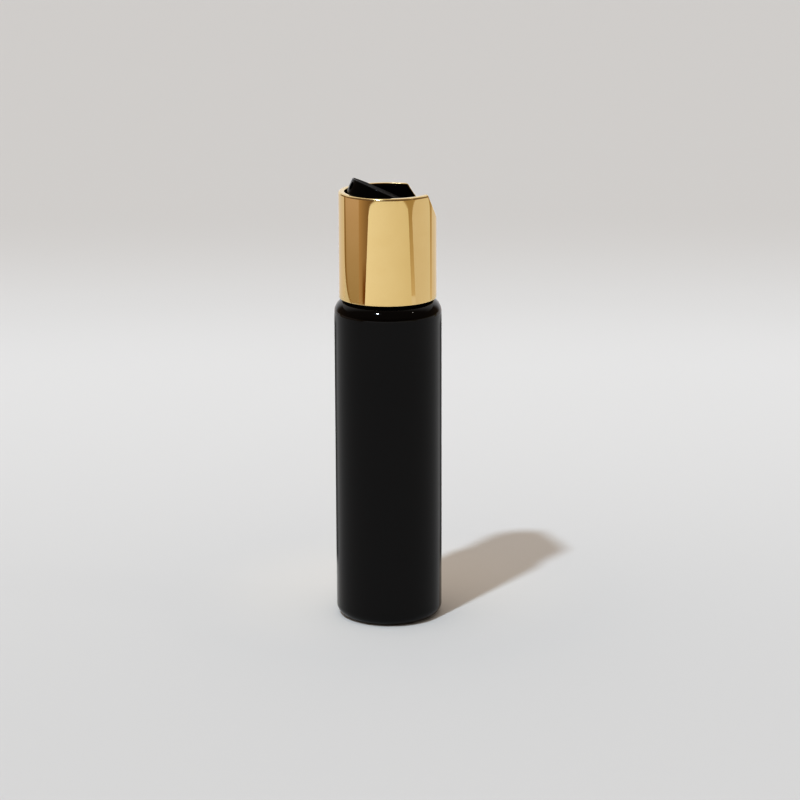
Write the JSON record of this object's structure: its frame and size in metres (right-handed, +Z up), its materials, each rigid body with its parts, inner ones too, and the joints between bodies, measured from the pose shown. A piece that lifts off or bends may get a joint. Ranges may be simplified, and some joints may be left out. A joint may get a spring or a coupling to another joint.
{
  "type": "disc top bottle",
  "caption": "Slim cylinder bottle with a flat shoulder, a tall metal-shelled screw closure and a rocking disc that tips open to pour.",
  "frame": {"origin": "centre of the base, on the plane of the standing ring", "axes": "+Z up along the bottle axis, -X towards the disc's spout, +X towards the finger scoop, Y along the disc's trunnions"},
  "size_m": [0.0318, 0.0318, 0.1333],
  "materials": {
    "black_pet": "gloss, blow moulded",
    "black_polypropylene": "satin gloss, injection moulded",
    "gold_anodised_aluminium": "bright dipped, gold anodised",
    "liner_foam": "foam"
  },
  "bodies": {
    "bottle": {"bottle": "black_pet"},
    "liner": {"sealing_liner": "liner_foam"},
    "closure": {"cap_body": "black_polypropylene", "cap_shell": "gold_anodised_aluminium"},
    "disc": {"press_disc": "black_polypropylene"}
  },
  "joints": [
    {"name": "cap_lift", "type": "slide", "parent": "bottle", "child": "liner", "axis": [0, 0, 1], "range_m": [0, 0.01905]},
    {"name": "cap_turn", "type": "hinge", "parent": "liner", "child": "closure", "pos_m": [0, 0, 0.1138], "axis": [0, 0, 1], "range_deg": [0, 2160]},
    {"name": "disc_tilt", "type": "hinge", "parent": "closure", "child": "disc", "pos_m": [-0.0023, 0, 0.1265], "axis": [0, -1, 0], "range_deg": [0, 25.1]}
  ],
  "couplings": [
    {"joint": "cap_lift", "follows": "cap_turn", "m_per_rad": 0.00050531}
  ]
}
